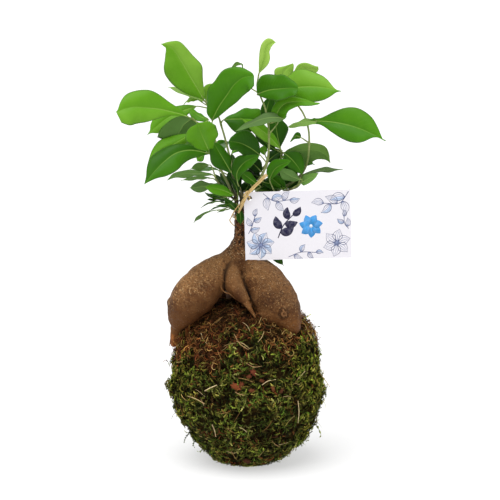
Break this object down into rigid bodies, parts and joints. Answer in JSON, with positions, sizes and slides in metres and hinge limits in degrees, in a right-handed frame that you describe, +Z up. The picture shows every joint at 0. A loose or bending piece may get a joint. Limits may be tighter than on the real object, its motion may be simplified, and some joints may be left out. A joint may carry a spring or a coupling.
{
  "type": "kokedama moss ball plant",
  "caption": "Small fig tree with swollen roots astride a moss-wrapped soil ball, with a punched card tied to its trunk; stands by itself on a flat spot.",
  "frame": {"origin": "middle of the flat spot under the moss ball", "axes": "+Z up the plant, -Y towards the viewer's side with the card, +X to the right as seen from there"},
  "size_m": [0.2112, 0.1421, 0.344],
  "materials": {
    "soil": "matte",
    "green_moss": "matte",
    "dry_moss": "matte",
    "bark": "matte",
    "leaf_green": "satin",
    "card_paper": "matte",
    "raffia": "matte"
  },
  "bodies": {
    "root": {"soil_ball": "soil", "moss_wrap": "green_moss", "dry_moss_cap": "dry_moss", "caudex": "bark", "spray_left": "leaf_green", "spray_mid_left": "leaf_green", "spray_centre": "leaf_green", "spray_right": "leaf_green", "spray_inner_right": "leaf_green", "spray_back_left": "leaf_green", "spray_back_right": "leaf_green", "card": "card_paper", "raffia_tie": "raffia"}
  },
  "joints": []
}
